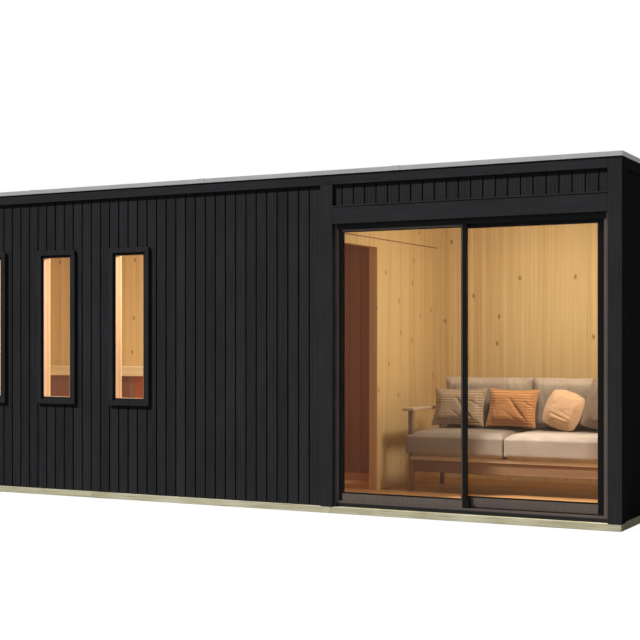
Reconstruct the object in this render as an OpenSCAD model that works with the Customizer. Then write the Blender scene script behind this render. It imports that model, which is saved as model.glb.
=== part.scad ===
// Garden sauna cabin: a long, low timber building with a flat roof, a two-panel sliding glass
// door into a lounge at the right end, and three tall fixed windows into the sauna room.
// The front faces -Y, +X runs along the front to the right, and +Z is up.
// The ground is z = 0, and the origin is under the middle of the plan.

/* [Cabin] */
// Length over the corner posts
cabin_length = 7056; // [5880:98:8624]
// Depth over the corner posts
cabin_depth = 2290; // [1900:10:2900]
// Height from the ground to the top of the roof edge
cabin_height = 2706; // [2550:2:3000]

/* [Base and floor] */
// Height of the ground sill
sill_height = 52; // [40:1:90]
// Width of the ground sill, seen from above
sill_width = 154; // [120:1:200]
// How far the sill sits behind the face of the trim
sill_setback = 4; // [0:1:20]
// Thickness of the floor deck
floor_thickness = 51; // [30:1:80]

/* [Walls] */
// How far posts, trim and casings stand out from the cladding
trim_proud = 22; // [10:1:30]
// Thickness of the cladding boards
cladding_thickness = 20; // [14:1:28]
// Thickness of the framed wall behind the cladding, with its inner lining
wall_thickness = 88; // [60:1:160]
// Face width of a corner post
corner_post_width = 105; // [80:1:150]

/* [Roof] */
// Height of the metal roof edge
roof_edge_height = 36; // [24:1:60]
// How far the metal roof edge stands out from the fascia
roof_edge_overhang = 15; // [5:1:40]
// Width of the roof edge, seen from above
roof_edge_width = 75; // [50:1:120]
// Height of the fascia under the roof edge
fascia_height = 80; // [60:1:140]
// Thickness of the roofing felt
membrane_thickness = 8; // [4:1:20]
// Height of the rooms, from floor to ceiling
room_height = 2340; // [2200:1:2380]
// Thickness of the ceiling boards
ceiling_thickness = 20; // [12:1:30]

/* [Door bay] */
// Width of the opening for the sliding door
door_width = 2202; // [1800:1:2600]
// Height of the underside of the flat trim over the door
door_top = 2279; // [2100:1:2350]
// Height of the flat trim over the door
door_head_height = 146; // [80:1:180]
// Face width of the post at the left of the door
door_post_width = 109; // [80:1:150]
// Height of the black threshold on the sill
threshold_height = 31; // [20:1:60]

/* [Sliding door] */
// How far the door frame sits behind the face of the trim
door_setback = 40; // [25:1:60]
// Face width of the door frame's jambs
jamb_width = 36; // [25:1:60]
// Height of the door frame's head
head_height = 30; // [25:1:60]
// Height of the bottom track
track_height = 16; // [10:1:30]
// Thickness of each glazed panel's frame
panel_thickness = 36; // [28:1:45]
// Face width of the sliding panel's outer stile
stile_width = 50; // [35:1:80]
// Face width of the fixed panel's outer stile
fixed_stile_width = 30; // [25:1:60]
// Face width of the two stiles that meet
meeting_stile_width = 40; // [30:1:60]
// Height of a panel's top rail
top_rail_height = 27; // [20:1:80]
// Height of the fixed panel's bottom rail
fixed_bottom_rail = 61; // [40:1:100]
// Height of the sliding panel's bottom rail
sliding_bottom_rail = 73; // [40:1:100]
// Overlap of the two panels where they meet
panel_overlap = 44; // [30:1:70]
// Thickness of a sealed glass unit
glass_thickness = 24; // [16:1:36]
// Free space around the sliding panel
slide_clearance = 6; // [5:1:12]

/* [Windows] */
// Number of windows
window_count = 3; // [1:1:4]
// Distance of the nearest window's middle from the right end of the cabin
window_first = 4270; // [3400:1:4600]
// Distance between the middles of neighbouring windows
window_spacing = 784; // [500:1:900]
// Width of the clear glass
window_light_width = 290; // [200:1:400]
// Height of the clear glass
window_light_height = 1228; // [900:1:1400]
// Height of the bottom of the clear glass
window_light_bottom = 869; // [700:1:1000]
// Face width of the window casing
casing_width = 63; // [40:1:90]
// Thickness of the boards that line a window opening
lining_thickness = 18; // [12:1:30]
// Thickness of a window's sealed glass unit
window_glass_thickness = 20; // [12:1:30]

/* [Partition] */
// Distance of the partition's lounge face from the right end of the cabin
partition_offset = 2310; // [2310:1:2400]
// Thickness of the partition
partition_thickness = 76; // [50:1:120]
// Width of the doorway between the rooms
doorway_width = 704; // [600:1:900]
// Height of the doorway above the floor
doorway_height = 2047; // [1850:1:2080]

/* [Bench] */
// Height of the top of the bench above the floor
bench_height = 1005; // [400:1:1100]
// Depth of the bench from the back wall
bench_depth = 600; // [400:1:800]
// Length of the bench from the left wall
bench_length = 1726; // [1000:1:2400]
// Thickness of the bench top
bench_top_thickness = 92; // [40:1:120]
// Thickness of the boards that close the bench's front and end
bench_panel_thickness = 24; // [15:1:40]
// Width of the post at the bench's free corner
bench_post_width = 100; // [60:1:140]
// How far the bench top stands out over the boards below it
bench_nosing = 20; // [0:1:40]

/* [Sofa] */
// Length of the sofa over its legs
sofa_length = 1820; // [1400:1:2000]
// Depth of the sofa over its legs
sofa_depth = 725; // [650:1:900]
// Distance of the sofa's front from the inner face of the front wall
sofa_from_front_wall = 750; // [400:1:1000]
// Distance of the sofa's right end from the inner face of the right wall
sofa_from_right_wall = 110; // [50:1:400]
// Thickness of the sofa's legs
sofa_leg = 60; // [40:1:80]
// Height of the seat deck's top above the floor
sofa_deck_top = 300; // [250:1:380]
// Height of the seat rails, and of the back frame's top rail
sofa_rail_height = 35; // [25:1:60]
// Height of the aprons under the seat rails
sofa_apron_height = 103; // [60:1:130]
// Thickness of the seat rails
sofa_rail_thickness = 40; // [30:1:50]
// Thickness of the aprons
sofa_apron_thickness = 22; // [15:1:28]
// Thickness of the seat deck
sofa_deck_thickness = 18; // [12:1:25]
// Height of the top of the armrests above the floor
sofa_arm_top = 697; // [600:1:750]
// Thickness of the armrest boards
sofa_arm_thickness = 25; // [18:1:40]
// Width of the armrest boards
sofa_arm_width = 100; // [60:1:140]
// Height of the back frame above the floor
sofa_back_top = 800; // [700:1:900]
// Thickness of a seat cushion
seat_cushion_thickness = 215; // [100:1:230]
// How far the seat cushions reach out in front of the sofa's front legs
seat_cushion_reach = 40; // [20:1:70]
// How far left of the sofa's middle the seat cushions meet
seat_joint_shift = 45; // [0:1:80]
// Thickness of a back cushion
back_cushion_thickness = 160; // [100:1:200]
// Height of a back cushion
back_cushion_height = 435; // [350:1:550]
// Distance of the back cushions' outer ends from the sofa's legs
back_cushion_inset = 60; // [0:1:100]
// Gap that keeps cushions clear of what is beside them
cushion_clearance = 0.3; // [0.1:0.1:2]
// Gap between cushions that stand side by side
cushion_gap = 6; // [2:1:20]

/* [Pillows] */
// Width of the ribbed pillow at the left
ribbed_pillow_width = 490; // [400:1:520]
// Width of the orange pillow
orange_pillow_width = 450; // [400:1:500]
// Height of the ribbed pillow and the orange pillow
low_pillow_height = 340; // [280:1:400]
// Width and height of the peach pillow
peach_pillow_size = 350; // [250:1:400]
// Width of the grey pillow at the right
grey_pillow_width = 315; // [250:1:400]
// Height of the grey pillow
grey_pillow_height = 430; // [350:1:500]
// Gap between the orange pillow and the peach pillow
peach_pillow_gap = 45; // [6:1:60]
// Thickness of the pillows
pillow_thickness = 120; // [80:1:150]
// Lean of the pillows against the back cushions, in degrees
pillow_lean = 16; // [5:1:30]

/* [Hidden] */

// A hair of extra reach, so that a cut leaves no skin
cut = 1;

black_timber = [0.18, 0.18, 0.185];
treated_timber = [0.65, 0.64, 0.52];
inner_timber = [0.8, 0.62, 0.4];
dark_bench_timber = [0.5, 0.34, 0.26];
roof_metal = [0.7, 0.7, 0.7];
roof_felt = [0.25, 0.25, 0.26];
bronze = [0.33, 0.27, 0.26];
glass = [0.6, 0.68, 0.66];
beige_fabric = [0.74, 0.68, 0.6];
orange_fabric = [0.85, 0.5, 0.25];
peach_fabric = [0.88, 0.7, 0.55];
grey_fabric = [0.6, 0.56, 0.5];

// Plan: faces of the trim, the cladding, the framed wall and the rooms
end_x = cabin_length / 2;
front_y = -cabin_depth / 2;
skin_depth = trim_proud + cladding_thickness;
core_x = end_x - skin_depth;
core_y = front_y + skin_depth;
room_x = core_x - wall_thickness;
room_y = core_y + wall_thickness;

// Heights
floor_top = sill_height + floor_thickness;
ceiling_z = floor_top + room_height;
roof_edge_z = cabin_height - roof_edge_height;
wall_top = roof_edge_z - fascia_height;
door_bottom = sill_height + threshold_height;
door_head_top = door_top + door_head_height;

// Door bay, with x from left to right
door_right = end_x - corner_post_width;
door_left = door_right - door_width;
door_post_left = door_left - door_post_width;
door_front_y = front_y + door_setback;
door_depth = room_y - door_front_y;
panel_left = door_left + jamb_width;
panel_right = door_right - jamb_width;
sliding_right = panel_right - slide_clearance;
pane_width = (sliding_right - panel_left + panel_overlap - fixed_stile_width
    - 2 * meeting_stile_width - stile_width) / 2;
panel_bottom = door_bottom + track_height;
panel_top = door_top - head_height;
fixed_panel_y = door_front_y + slide_clearance;
sliding_panel_y = fixed_panel_y + panel_thickness + slide_clearance;

// Window sizes
window_hole_width = window_light_width + 2 * lining_thickness;
window_hole_height = window_light_height + 2 * lining_thickness;
casing_outer_width = window_light_width + 2 * casing_width;
casing_outer_height = window_light_height + 2 * casing_width;
window_middle_z = window_light_bottom + window_light_height / 2;

// Partition, with x from left to right
partition_right = end_x - partition_offset;
partition_left = partition_right - partition_thickness;
doorway_top = floor_top + doorway_height;

// Sofa
sofa_right = room_x - sofa_from_right_wall;
sofa_left = sofa_right - sofa_length;
sofa_front = room_y + sofa_from_front_wall;
sofa_back = sofa_front + sofa_depth;
sofa_rail_z = floor_top + sofa_deck_top - sofa_rail_height;
sofa_middle = (sofa_left + sofa_right) / 2;
seat_joint = sofa_middle - seat_joint_shift;
cushion_left = sofa_left + sofa_leg + cushion_clearance;
cushion_right = sofa_right - sofa_leg - cushion_clearance;
cushion_back = sofa_back - sofa_leg - cushion_clearance;
seat_z = floor_top + sofa_deck_top + cushion_clearance;
seat_top = seat_z + seat_cushion_thickness;
back_cushion_front = cushion_back - back_cushion_thickness;

// A block from one corner to the opposite one
module block(from, to) {
    translate(from) cube(to - from);
}

// A flat upright frame that faces -Y, with its opening cut through it
module ring(from, to, left, right, bottom, top) {
    difference() {
        block(from, to);
        block([from.x + left, from.y - cut, from.z + bottom], [to.x - right, to.y + cut, to.z - top]);
    }
}

// Puts its children at the middle of each window's glass, on the plane y = 0
module at_windows() {
    for (i = [0 : window_count - 1])
        translate([end_x - window_first - i * window_spacing, 0, window_middle_z]) children();
}

// A block centred on a window, from one depth to another
module window_block(width, height, near_y, far_y) {
    translate([-width / 2, near_y, -height / 2]) cube([width, far_y - near_y, height]);
}

// ---- Base and floor ----

module sill(y) {
    color(treated_timber)
        translate([-end_x + sill_setback, y, 0])
            cube([cabin_length - 2 * sill_setback, sill_width, sill_height]);
}

module sill_front() {
    sill(front_y + sill_setback);
}

module sill_back() {
    sill(-front_y - sill_setback - sill_width);
}

module sill_ends() {
    inner = cabin_depth - 2 * (sill_setback + sill_width);
    for (x = [-end_x + sill_setback, end_x - sill_setback - sill_width])
        color(treated_timber) translate([x, -inner / 2, 0]) cube([sill_width, inner, sill_height]);
}

module floor_deck() {
    color(inner_timber) block([-room_x, room_y, sill_height], [room_x, -room_y, floor_top]);
}

// ---- Framed walls ----

module front_wall() {
    color(inner_timber) difference() {
        block([-core_x, core_y, sill_height], [door_left, room_y, wall_top]);
        at_windows() window_block(window_hole_width, window_hole_height, core_y - cut, room_y + cut);
    }
}

module front_wall_pier() {
    color(inner_timber) block([door_right, core_y, sill_height], [core_x, room_y, wall_top]);
}

module front_wall_over_door() {
    color(inner_timber) block([door_left, core_y, door_top], [door_right, room_y, wall_top]);
}

module back_wall() {
    color(inner_timber) block([-core_x, -room_y, sill_height], [core_x, -core_y, wall_top]);
}

module end_wall(outer_x, inner_x) {
    color(inner_timber)
        block([min(outer_x, inner_x), room_y, sill_height], [max(outer_x, inner_x), -room_y, wall_top]);
}

module left_wall() {
    end_wall(-core_x, -room_x);
}

module right_wall() {
    end_wall(core_x, room_x);
}

// ---- Cladding and trim ----

module cladding_front() {
    left = -end_x + corner_post_width;
    color(black_timber) difference() {
        block([left, front_y + trim_proud, sill_height], [door_post_left, core_y, wall_top]);
        at_windows() window_block(casing_outer_width, casing_outer_height, front_y, core_y + cut);
    }
}

module cladding_over_door() {
    color(black_timber)
        block([door_left, front_y + trim_proud, door_head_top], [door_right, core_y, wall_top]);
}

module cladding_back() {
    side = end_x - corner_post_width;
    color(black_timber)
        block([-side, -core_y, sill_height], [side, -front_y - trim_proud, wall_top]);
}

module cladding_end() {
    side = cabin_depth / 2 - corner_post_width;
    color(black_timber) block([core_x, -side, sill_height], [end_x - trim_proud, side, wall_top]);
}

module cladding_left() {
    mirror([1, 0, 0]) cladding_end();
}

module cladding_right() {
    cladding_end();
}

module corner_post() {
    color(black_timber) difference() {
        block([end_x - corner_post_width, front_y, sill_height],
            [end_x, front_y + corner_post_width, roof_edge_z]);
        block([end_x - corner_post_width - cut, core_y, sill_height - cut],
            [core_x, front_y + corner_post_width + cut, roof_edge_z + cut]);
    }
}

module corner_posts() {
    for (side = [0, 1], back = [0, 1])
        mirror([side, 0, 0]) mirror([0, back, 0]) corner_post();
}

module door_post() {
    color(black_timber) block([door_post_left, front_y, sill_height], [door_left, core_y, wall_top]);
}

module door_head_trim() {
    color(black_timber) block([door_left, front_y, door_top], [door_right, core_y, door_head_top]);
}

// ---- Roof ----

module fascia_front() {
    side = end_x - corner_post_width;
    color(black_timber) block([-side, front_y, wall_top], [side, core_y, roof_edge_z]);
}

module fascia_back() {
    mirror([0, 1, 0]) fascia_front();
}

module fascia_ends() {
    side = cabin_depth / 2 - corner_post_width;
    for (end = [0, 1])
        mirror([end, 0, 0])
            color(black_timber) block([core_x, -side, wall_top], [end_x, side, roof_edge_z]);
}

module ceiling() {
    color(inner_timber)
        block([-room_x, room_y, ceiling_z], [room_x, -room_y, ceiling_z + ceiling_thickness]);
}

module roof_deck() {
    color(inner_timber) block([-core_x, core_y, wall_top], [core_x, -core_y, roof_edge_z]);
}

module roof_edge_trim() {
    outer = [end_x + roof_edge_overhang, cabin_depth / 2 + roof_edge_overhang];
    inner = outer - [roof_edge_width, roof_edge_width];
    color(roof_metal) difference() {
        block([-outer.x, -outer.y, roof_edge_z], [outer.x, outer.y, cabin_height]);
        block([-inner.x, -inner.y, roof_edge_z - cut], [inner.x, inner.y, cabin_height + cut]);
    }
}

module roof_membrane() {
    inner = [end_x, cabin_depth / 2] - [1, 1] * (roof_edge_width - roof_edge_overhang);
    color(roof_felt)
        block([-inner.x, -inner.y, roof_edge_z], [inner.x, inner.y, roof_edge_z + membrane_thickness]);
}

// ---- Windows ----

module window_casings() {
    at_windows() color(black_timber) difference() {
        window_block(casing_outer_width, casing_outer_height, front_y, core_y);
        window_block(window_light_width, window_light_height, front_y - cut, core_y + cut);
    }
}

module window_linings() {
    at_windows() color(inner_timber) difference() {
        window_block(window_hole_width, window_hole_height, core_y, room_y);
        window_block(window_light_width, window_light_height, core_y - cut, room_y + cut);
    }
}

module window_glass() {
    at_windows() color(glass)
        window_block(window_light_width, window_light_height, core_y, core_y + window_glass_thickness);
}

// ---- Sliding door ----

module door_threshold() {
    color(black_timber)
        block([door_left, door_front_y, sill_height], [door_right, room_y, door_bottom]);
}

module door_frame() {
    color(bronze) ring([door_left, door_front_y, door_bottom], [door_right, room_y, door_top],
        jamb_width, jamb_width, track_height, head_height);
}

module panel_frame(from, to, left, right, bottom) {
    color(bronze) ring(from, to, left, right, bottom, top_rail_height);
}

module panel_glass(from, to, left, right, bottom) {
    near_y = from.y + (panel_thickness - glass_thickness) / 2;
    color(glass) block([from.x + left, near_y, from.z + bottom],
        [to.x - right, near_y + glass_thickness, to.z - top_rail_height]);
}

fixed_width = fixed_stile_width + pane_width + meeting_stile_width;
fixed_from = [panel_left, fixed_panel_y, panel_bottom];
fixed_to = [panel_left + fixed_width, fixed_panel_y + panel_thickness, panel_top];
sliding_width = meeting_stile_width + pane_width + stile_width;
sliding_from = [sliding_right - sliding_width, sliding_panel_y, panel_bottom + slide_clearance];
sliding_to = [sliding_right, sliding_panel_y + panel_thickness, panel_top - slide_clearance];

module fixed_panel_frame() {
    panel_frame(fixed_from, fixed_to, fixed_stile_width, meeting_stile_width, fixed_bottom_rail);
}

module fixed_panel_glass() {
    panel_glass(fixed_from, fixed_to, fixed_stile_width, meeting_stile_width, fixed_bottom_rail);
}

module sliding_panel_frame() {
    panel_frame(sliding_from, sliding_to, meeting_stile_width, stile_width, sliding_bottom_rail);
}

module sliding_panel_glass() {
    panel_glass(sliding_from, sliding_to, meeting_stile_width, stile_width, sliding_bottom_rail);
}

// ---- Partition between the rooms ----

module partition_wall() {
    color(inner_timber) block([partition_left, room_y + doorway_width, floor_top],
        [partition_right, -room_y, ceiling_z]);
}

module partition_lintel() {
    color(inner_timber) block([partition_left, room_y, doorway_top],
        [partition_right, room_y + doorway_width, ceiling_z]);
}

// ---- Sauna bench ----

bench_right = -room_x + bench_length;
bench_front = -room_y - bench_depth;
bench_top_z = floor_top + bench_height;

module bench_top() {
    color(inner_timber) block([-room_x, bench_front, bench_top_z - bench_top_thickness],
        [bench_right, -room_y, bench_top_z]);
}

bench_post_right = bench_right - bench_nosing;
bench_post_left = bench_post_right - bench_post_width;
bench_panel_front = bench_front + bench_nosing;
bench_panel_top = bench_top_z - bench_top_thickness;

module bench_front() {
    color(dark_bench_timber) block([-room_x, bench_panel_front, floor_top],
        [bench_post_left, bench_panel_front + bench_panel_thickness, bench_panel_top]);
}

module bench_end() {
    color(inner_timber) union() {
        block([bench_post_left, bench_panel_front, floor_top],
            [bench_post_right, bench_panel_front + bench_post_width, bench_panel_top]);
        block([bench_post_right - bench_panel_thickness, bench_panel_front, floor_top],
            [bench_post_right, -room_y, bench_panel_top]);
    }
}

// ---- Sofa ----

module sofa_legs() {
    front_leg_top = floor_top + sofa_arm_top - sofa_arm_thickness;
    back_leg_top = floor_top + sofa_back_top;
    for (x = [sofa_left, sofa_right - sofa_leg]) {
        block([x, sofa_front, floor_top], [x + sofa_leg, sofa_front + sofa_leg, front_leg_top]);
        block([x, sofa_back - sofa_leg, floor_top], [x + sofa_leg, sofa_back, back_leg_top]);
    }
}

// The long rails and the end rails at one height, between the middles of the legs
module sofa_rails(bottom, height, thickness) {
    left = sofa_left + sofa_leg / 2;
    right = sofa_right - sofa_leg / 2;
    inset = (sofa_leg - thickness) / 2;
    for (y = [sofa_front + inset, sofa_back - inset - thickness])
        block([left, y, bottom], [right, y + thickness, bottom + height]);
    for (x = [sofa_left + inset, sofa_right - inset - thickness])
        block([x, sofa_front + sofa_leg / 2, bottom],
            [x + thickness, sofa_back - sofa_leg / 2, bottom + height]);
}

module sofa_frame() {
    deck_top = floor_top + sofa_deck_top;
    arm_top = floor_top + sofa_arm_top;
    back_rail_z = floor_top + sofa_back_top - sofa_rail_height;
    color(inner_timber) union() {
        sofa_legs();
        sofa_rails(sofa_rail_z, sofa_rail_height, sofa_rail_thickness);
        sofa_rails(sofa_rail_z - sofa_apron_height, sofa_apron_height, sofa_apron_thickness);
        block([sofa_left + sofa_leg / 2, sofa_front + sofa_leg / 2, deck_top - sofa_deck_thickness],
            [sofa_right - sofa_leg / 2, sofa_back - sofa_leg / 2, deck_top]);
        for (x = [sofa_left + sofa_leg - sofa_arm_width, sofa_right - sofa_leg])
            block([x, sofa_front, arm_top - sofa_arm_thickness],
                [x + sofa_arm_width, sofa_back - sofa_leg, arm_top]);
        block([sofa_left + sofa_leg / 2, sofa_back - sofa_leg, back_rail_z],
            [sofa_right - sofa_leg / 2, sofa_back - sofa_leg + sofa_rail_thickness,
            floor_top + sofa_back_top]);
    }
}

// A seat cushion between two x, with its front end wider where it passes the sofa's leg
module seat_cushion(left, right, front_left, front_right) {
    color(beige_fabric) union() {
        block([left, sofa_front - cushion_clearance - cut, seat_z], [right, cushion_back, seat_top]);
        block([front_left, sofa_front - seat_cushion_reach, seat_z],
            [front_right, sofa_front - cushion_clearance, seat_top]);
    }
}

module seat_cushions() {
    left_end = seat_joint - cushion_gap / 2;
    right_start = seat_joint + cushion_gap / 2;
    seat_cushion(cushion_left, left_end, sofa_left, left_end);
    seat_cushion(right_start, cushion_right, right_start, sofa_right);
}

module back_cushions() {
    bottom = seat_top + cushion_clearance;
    left = cushion_left + back_cushion_inset;
    width = sofa_middle - left - cushion_gap / 2;
    for (x = [left, sofa_middle + cushion_gap / 2])
        color(beige_fabric) block([x, back_cushion_front, bottom],
            [x + width, cushion_back, bottom + back_cushion_height]);
}

// A pillow that stands on the seat and leans back, with its left edge at x
module pillow(x, width, height) {
    reach = pillow_thickness * cos(pillow_lean) + height * sin(pillow_lean);
    translate([x, back_cushion_front - cushion_clearance - reach,
        seat_top + cushion_clearance + pillow_thickness * sin(pillow_lean)])
        rotate([-pillow_lean, 0, 0]) cube([width, pillow_thickness, height]);
}

pillow_ribbed_x = cushion_left + cushion_gap;
pillow_orange_x = pillow_ribbed_x + ribbed_pillow_width + cushion_gap;
pillow_peach_x = pillow_orange_x + orange_pillow_width + peach_pillow_gap;
pillow_grey_x = pillow_peach_x + peach_pillow_size + cushion_gap;

module pillow_ribbed() {
    color(beige_fabric) pillow(pillow_ribbed_x, ribbed_pillow_width, low_pillow_height);
}

module pillow_orange() {
    color(orange_fabric) pillow(pillow_orange_x, orange_pillow_width, low_pillow_height);
}

module pillow_peach() {
    color(peach_fabric) pillow(pillow_peach_x, peach_pillow_size, peach_pillow_size);
}

module pillow_grey() {
    color(grey_fabric) pillow(pillow_grey_x, grey_pillow_width, grey_pillow_height);
}

sill_front();
sill_back();
sill_ends();
floor_deck();
front_wall();
front_wall_pier();
front_wall_over_door();
back_wall();
left_wall();
right_wall();
cladding_front();
cladding_over_door();
cladding_back();
cladding_left();
cladding_right();
corner_posts();
door_post();
door_head_trim();
fascia_front();
fascia_back();
fascia_ends();
ceiling();
roof_deck();
roof_membrane();
roof_edge_trim();
window_casings();
window_linings();
window_glass();
door_threshold();
door_frame();
fixed_panel_frame();
fixed_panel_glass();
sliding_panel_frame();
sliding_panel_glass();
partition_wall();
partition_lintel();
bench_top();
bench_front();
bench_end();
sofa_frame();
seat_cushions();
back_cushions();
pillow_ribbed();
pillow_orange();
pillow_peach();
pillow_grey();
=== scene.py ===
"""Garden sauna cabin: boards, trim, glass, furniture, materials, light and camera around the frame."""

import math
import random

import bmesh
import bpy
from mathutils import Matrix, Vector, noise


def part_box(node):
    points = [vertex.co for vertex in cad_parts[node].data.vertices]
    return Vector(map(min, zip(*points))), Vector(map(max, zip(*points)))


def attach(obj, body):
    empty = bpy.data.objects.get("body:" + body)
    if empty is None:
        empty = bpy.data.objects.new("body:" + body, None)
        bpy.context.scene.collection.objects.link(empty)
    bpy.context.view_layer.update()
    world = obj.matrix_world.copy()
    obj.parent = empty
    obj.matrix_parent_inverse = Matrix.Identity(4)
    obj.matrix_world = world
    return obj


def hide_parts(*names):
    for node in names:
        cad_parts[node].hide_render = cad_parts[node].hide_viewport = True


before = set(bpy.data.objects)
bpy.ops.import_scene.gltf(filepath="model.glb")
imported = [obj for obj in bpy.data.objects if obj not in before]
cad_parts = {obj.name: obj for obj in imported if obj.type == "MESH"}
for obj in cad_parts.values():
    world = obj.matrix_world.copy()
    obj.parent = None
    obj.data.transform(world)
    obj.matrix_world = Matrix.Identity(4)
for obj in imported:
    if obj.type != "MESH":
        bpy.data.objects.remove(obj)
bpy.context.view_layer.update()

CABIN, PANEL = "cabin", "sliding_panel"

# Cladding, in metres
BOARD_PITCH = 0.098
FIRST_GROOVE = 0.0744  # from the front right corner to the first groove of the front
GROOVE_WIDTH = 0.012
GROOVE_DEPTH = 0.008
BOARD_CHAMFER = 0.0015
RIB_WIDTH = 0.005
RIB_DEPTH = 0.0016
RIB_COUNTS = (0, 2, 3, 3, 4)
NARROW_BOARD = 0.06  # a board narrower than this has no ribs

# Edges of boards and sheets
SHARP_EDGE = 0.001
TIMBER_EDGE = 0.0025
SOFT_EDGE = 0.006
METAL_EDGE = 0.0008
BOARD_EDGE = 0.0012
JOINT = 0.0012  # open joint between two boards that meet
PARTITION_JOINT = 2.121  # height of the joint in the partition's lining above the floor

BENCH_FRONT_BOARD = 0.09
BENCH_END_BOARD = 0.1
BENCH_JOINT = 0.002

# Sofa, cushions and pillows
SOFA_LEG = 0.06
LEG_TAPER = 0.72  # width of a leg's foot, as a share of its top
# The legs and the apron take darker copies of the oak: painted shade.
LEG_INDEX, APRON_INDEX = 1, 2  # the sofa's second and third material
CLOTH_FRAMES = 20
RIB_PITCH = 0.023
PILLOW_LEAN = 16  # degrees
PILLOW_THICKNESS = 0.12
THIN_EDGE = 0.16  # thickness of a pillow's edge, as a share of its middle

# Light
WARM = (1.0, 0.95, 0.86)
WORLD_LIGHT = 0.16
SUN_LIGHT = 5.0
LOUNGE_LIGHT = 39.0
SAUNA_LIGHT = 60.0
SUNBEAM = 130.0

# Camera
CAMERA_FROM_CORNER = Vector((2.561, -9.470))  # right of and in front of the front right corner
CAMERA_HEIGHT = 1.327
CAMERA_YAW = 27.73  # degrees to the left of straight at the front
CAMERA_LENS = 76.0
CAMERA_SENSOR = 36.0
HORIZON_DROP = 0.039  # how far the horizon is below the picture's middle, as a share of its width


# ---- Materials ----


class Paint:
    """A material's node tree, with short calls for the nodes used here."""

    def __init__(self, name, owner=None):
        self.material = owner or bpy.data.materials.new(name)
        self.material.use_nodes = True
        self.tree = self.material.node_tree
        self.shader = self.tree.nodes.get("Principled BSDF")

    def node(self, kind, **settings):
        made = self.tree.nodes.new(kind)
        for key, value in settings.items():
            setattr(made, key, value)
        return made

    def feed(self, socket, value):
        if isinstance(value, bpy.types.NodeSocket):
            self.tree.links.new(value, socket)
        else:
            socket.default_value = value

    def math(self, operation, a, b=0.0, c=0.0):
        made = self.node("ShaderNodeMath", operation=operation)
        for socket, value in zip(made.inputs, (a, b, c)):
            self.feed(socket, value)
        return made.outputs[0]

    def position(self):
        """The point's x, y and z in the piece's own frame, in metres."""
        split = self.node("ShaderNodeSeparateXYZ")
        self.feed(split.inputs[0], self.node("ShaderNodeTexCoord").outputs["Object"])
        return split.outputs[:3]

    def vector(self, x, y, z=0.0):
        made = self.node("ShaderNodeCombineXYZ")
        for socket, value in zip(made.inputs, (x, y, z)):
            self.feed(socket, value)
        return made.outputs[0]

    def times(self, value, factor):
        return self.math("MULTIPLY", value, factor)

    def total(self, *parts):
        """The sum of values, each with its weight: (value, weight) pairs."""
        result = 0.0
        for value, weight in parts:
            result = self.math("MULTIPLY_ADD", value, weight, result)
        return result

    def stretched(self, *parts):
        """A point whose coordinates are stretched: (value, scale) pairs."""
        return self.vector(*(self.times(*part) for part in parts))

    def noise(self, vector=None, scale=1.0, detail=4.0, roughness=0.5):
        """Noise at a point, or at the point of the piece that is painted."""
        made = self.node("ShaderNodeTexNoise")
        self.feed(made.inputs["Vector"], vector or self.vector(*self.position()))
        made.inputs["Scale"].default_value = scale
        made.inputs["Detail"].default_value = detail
        made.inputs["Roughness"].default_value = roughness
        return made.outputs["Fac"]

    def island(self):
        """A number from 0 to 1 for each loose board of a piece."""
        return self.node("ShaderNodeNewGeometry").outputs["Random Per Island"]

    def ramp(self, factor, *stops):
        """Colours by factor: each stop is a place from 0 to 1 and a linear colour."""
        made = self.node("ShaderNodeValToRGB")
        elements = made.color_ramp.elements
        while len(elements) < len(stops):
            elements.new(0.5)
        for element, (place, colour) in zip(elements, stops):
            element.position = place
            element.color = (*colour, 1.0)
        self.feed(made.inputs[0], factor)
        return made.outputs["Color"]

    def blend(self, factor, a, b):
        made = self.node("ShaderNodeMix", data_type="RGBA")
        self.feed(made.inputs["Factor"], factor)
        for socket, value in zip((made.inputs["A"], made.inputs["B"]), (a, b)):
            self.feed(socket, value if isinstance(value, bpy.types.NodeSocket) else (*value, 1.0))
        return made.outputs["Result"]

    def span(self, value, low, high):
        """Stretches a value between 0 and 1 onto low to high."""
        made = self.node("ShaderNodeMapRange")
        self.feed(made.inputs["Value"], value)
        made.inputs["To Min"].default_value = low
        made.inputs["To Max"].default_value = high
        return made.outputs["Result"]

    def finish(self, colour, roughness, height, depth, specular):
        self.feed(self.shader.inputs["Base Color"], colour)
        self.feed(self.shader.inputs["Roughness"], roughness)
        self.shader.inputs["Specular IOR Level"].default_value = specular
        if height is not None:
            bump = self.node("ShaderNodeBump")
            bump.inputs["Distance"].default_value = depth
            self.feed(bump.inputs["Height"], height)
            self.feed(self.shader.inputs["Normal"], bump.outputs["Normal"])
        return self.material

    def surface(self, factor, first, second):
        """Makes the surface a mix of two shader nodes."""
        mix = self.node("ShaderNodeMixShader")
        for socket, value in zip(mix.inputs, (factor, first.outputs[0], second.outputs[0])):
            self.feed(socket, value)
        self.feed(self.tree.nodes["Material Output"].inputs["Surface"], mix.outputs[0])


def linear(red, green, blue):
    """An sRGB colour, 0 to 255, as the linear values that shaders take."""
    values = (c / 255 for c in (red, green, blue))
    return tuple(c / 12.92 if c <= 0.04045 else ((c + 0.055) / 1.055) ** 2.4 for c in values)


def grain_axes(paint, lay):
    """(across, along) the grain: upright walls, a floor laid along X, or a ceiling along Y."""
    x, y, z = paint.position()
    if lay == "upright":
        return paint.math("ADD", x, y), z
    if lay == "along_x":
        return paint.math("ADD", y, z), x
    return paint.math("ADD", x, z), y


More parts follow.
